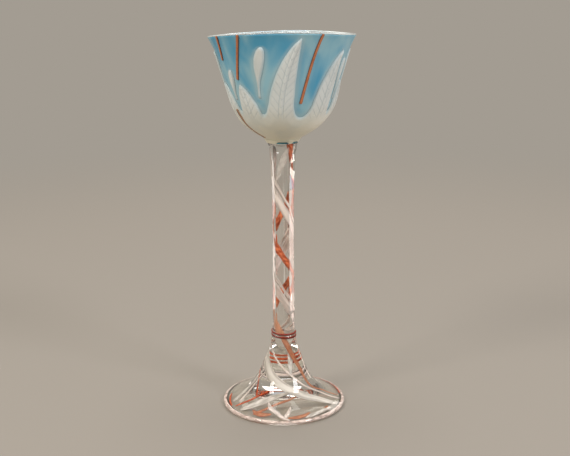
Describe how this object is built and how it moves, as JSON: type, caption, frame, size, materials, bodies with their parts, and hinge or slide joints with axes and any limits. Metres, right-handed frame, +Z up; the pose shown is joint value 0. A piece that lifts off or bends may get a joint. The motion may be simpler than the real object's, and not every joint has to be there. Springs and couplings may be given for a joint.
{
  "type": "liqueur glass",
  "caption": "Small stemmed glass: tulip bowl in layered glass with raised white leaves, five-sided twist stem with coloured strands, and a trumpet foot.",
  "frame": {"origin": "on the table, under the middle of the foot", "axes": "+Z up along the glass's axis, -Y towards the front as pictured"},
  "size_m": [0.0586, 0.0588, 0.1564],
  "materials": {
    "clear_glass": "fire-polished clear glass",
    "milk_glass": "satin etched opal white glass",
    "blue_glass": "satin etched blue glass",
    "teal_glass": "polished dark blue-green glass",
    "orange_glass": "polished orange glass thread",
    "red_glass": "polished red-orange glass cane",
    "white_strand": "polished white glass strand"
  },
  "bodies": {
    "root": {"foot_bell": "clear_glass", "foot_white_band": "white_strand", "foot_white_line": "white_strand", "foot_orange_cane": "orange_glass", "under_white_band": "white_strand", "under_red_line": "red_glass", "under_orange_line": "orange_glass", "joint_thread": "red_glass", "stem_shaft": "clear_glass", "stem_white_band": "white_strand", "stem_white_line": "white_strand", "stem_red_cane": "red_glass", "bowl_wafer": "teal_glass", "bowl_cup": "clear_glass", "bowl_blue_layer": "blue_glass", "bowl_white_layer": "milk_glass", "white_bud_1": "milk_glass", "white_bud_2": "milk_glass", "white_bud_3": "milk_glass", "white_bud_4": "milk_glass", "white_bud_5": "milk_glass", "white_bud_6": "milk_glass", "white_bud_7": "milk_glass", "orange_thread_1": "orange_glass", "orange_thread_2": "orange_glass", "orange_thread_3": "orange_glass", "orange_thread_4": "orange_glass", "orange_thread_5": "orange_glass", "orange_thread_6": "orange_glass", "low_thread": "orange_glass"}
  },
  "joints": []
}
